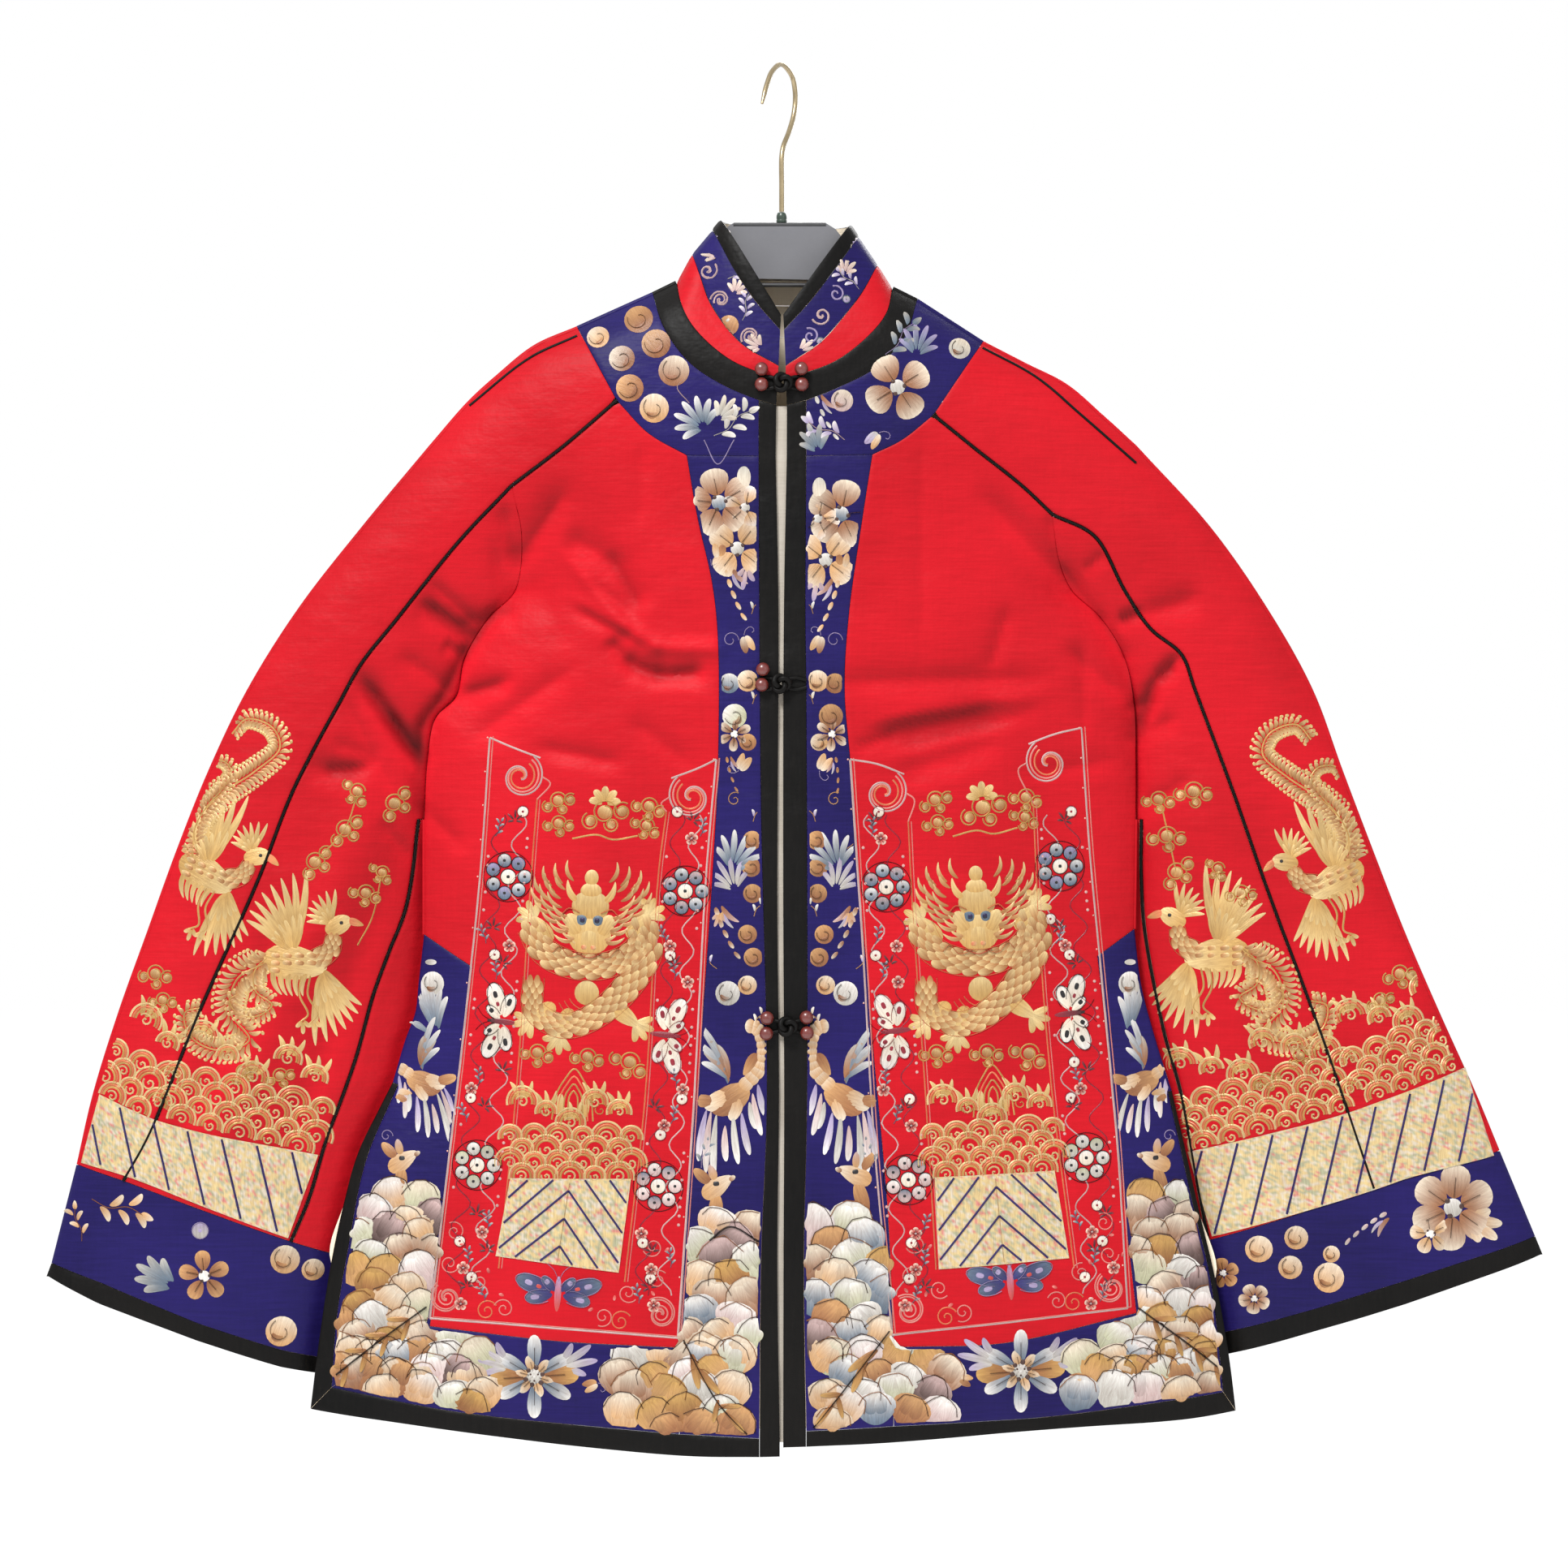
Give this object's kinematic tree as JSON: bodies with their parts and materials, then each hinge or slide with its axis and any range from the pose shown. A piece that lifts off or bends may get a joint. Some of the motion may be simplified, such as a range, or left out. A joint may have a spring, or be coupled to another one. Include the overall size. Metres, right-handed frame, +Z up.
{
  "type": "wide-sleeved silk jacket on a hanger",
  "caption": "Wide-sleeved front-opening silk jacket with a stand collar, ring collar and embroidered borders, hanging on a hanger with a wire hook.",
  "frame": {"origin": "inside of the hanger hook's crown, where the hook rests on a rail", "axes": "+Z up, the jacket's front faces -Y, +X to the right of a viewer who faces the front"},
  "size_m": [0.885, 0.0618, 0.8233],
  "materials": {
    "red_silk": "red silk satin",
    "blue_satin": "dark blue silk satin with embroidery",
    "black_satin": "black silk satin",
    "lining": "matte cotton lining",
    "bead": "polished dark red bead",
    "hanger": "moulded dark grey",
    "hook_wire": "pale brass wire",
    "ferrule": "dark green"
  },
  "bodies": {
    "root": {"back_cloud_ring": "blue_satin", "back_hem_binding": "black_satin", "back_hem_border": "blue_satin", "back_neck_band": "black_satin", "back_panel": "red_silk", "bead_01": "bead", "bead_02": "bead", "bead_03": "bead", "bead_04": "bead", "bead_05": "bead", "bead_06": "bead", "bead_07": "bead", "bead_08": "bead", "bead_09": "bead", "bead_10": "bead", "cloud_ring_left": "blue_satin", "cloud_ring_right": "blue_satin", "collar_band": "blue_satin", "collar_binding": "black_satin", "collar_seat": "red_silk", "cuff_band_left": "blue_satin", "cuff_band_right": "blue_satin", "cuff_binding_left": "black_satin", "cuff_binding_right": "black_satin", "edge_band_left": "black_satin", "edge_band_right": "black_satin", "front_panel_left": "red_silk", "front_panel_right": "red_silk", "gusset_piping_left": "black_satin", "gusset_piping_right": "black_satin", "hanger_body": "hanger", "hanger_ferrule": "ferrule", "hanger_hook": "hook_wire", "hem_binding_left": "black_satin", "hem_binding_right": "black_satin", "hem_border_left": "blue_satin", "hem_border_right": "blue_satin", "knot_1": "black_satin", "knot_2": "black_satin", "knot_3": "black_satin", "neck_band_left": "black_satin", "neck_band_right": "black_satin", "placket_left": "blue_satin", "placket_right": "blue_satin", "side_border_left": "blue_satin", "side_border_right": "blue_satin", "sleeve_back_left": "red_silk", "sleeve_back_right": "red_silk", "sleeve_gusset_left": "red_silk", "sleeve_gusset_right": "red_silk", "sleeve_lower_left": "red_silk", "sleeve_lower_right": "red_silk", "sleeve_piping_left": "black_satin", "sleeve_piping_right": "black_satin", "sleeve_upper_left": "red_silk", "sleeve_upper_right": "red_silk", "underlap_lining": "lining", "vent_binding_left": "black_satin", "vent_binding_right": "black_satin"}
  },
  "joints": []
}
